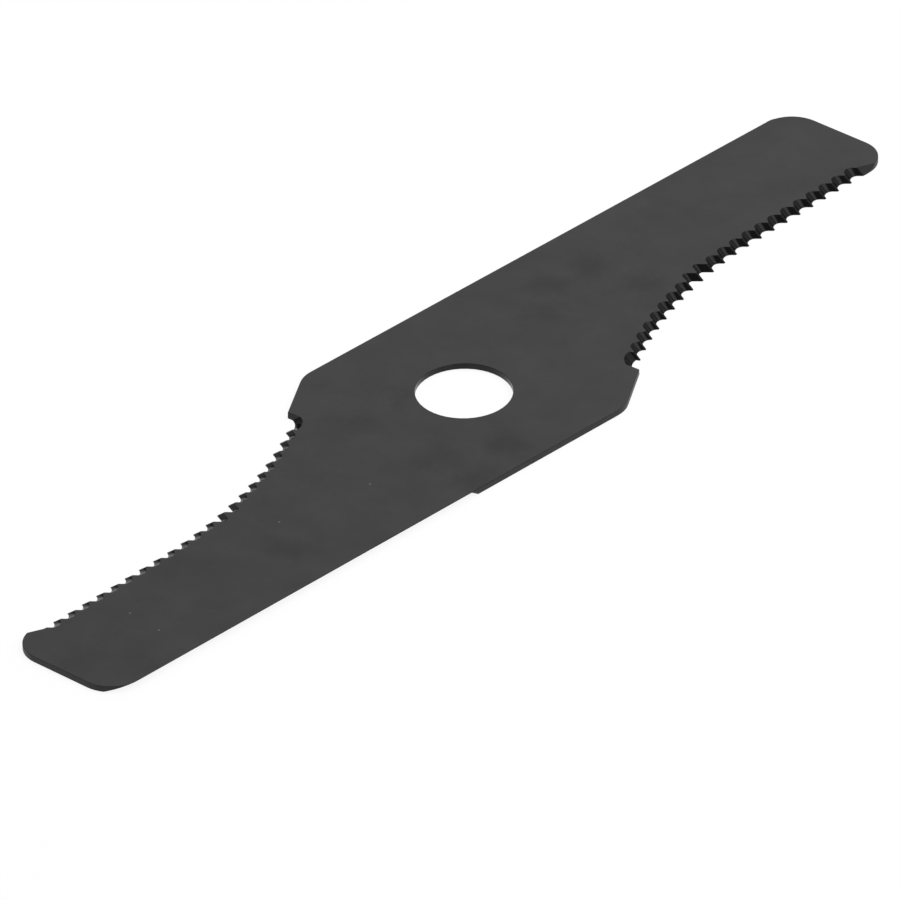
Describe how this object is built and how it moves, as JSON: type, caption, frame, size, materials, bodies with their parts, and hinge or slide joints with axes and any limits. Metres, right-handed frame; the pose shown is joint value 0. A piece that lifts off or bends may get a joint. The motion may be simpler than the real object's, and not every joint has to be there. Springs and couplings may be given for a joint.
{
  "type": "brush cutter blade",
  "caption": "Flat double-ended brush cutter blade of blackened spring steel with a round arbor bore; each arm has a bevelled straight edge and, opposite it, a curved row of ground saw teeth.",
  "frame": {"origin": "centre of the bore on the lower face, the one that the bevels are ground from", "axes": "+X along the arms, +Y across the blade, +Z along the bore out of the upper face; on the +X arm the straight edge is on the +Y side"},
  "size_m": [0.25, 0.0544, 0.0014],
  "materials": {
    "blackened_steel": "satin"
  },
  "bodies": {
    "root": {"blade": "blackened_steel"}
  },
  "joints": []
}
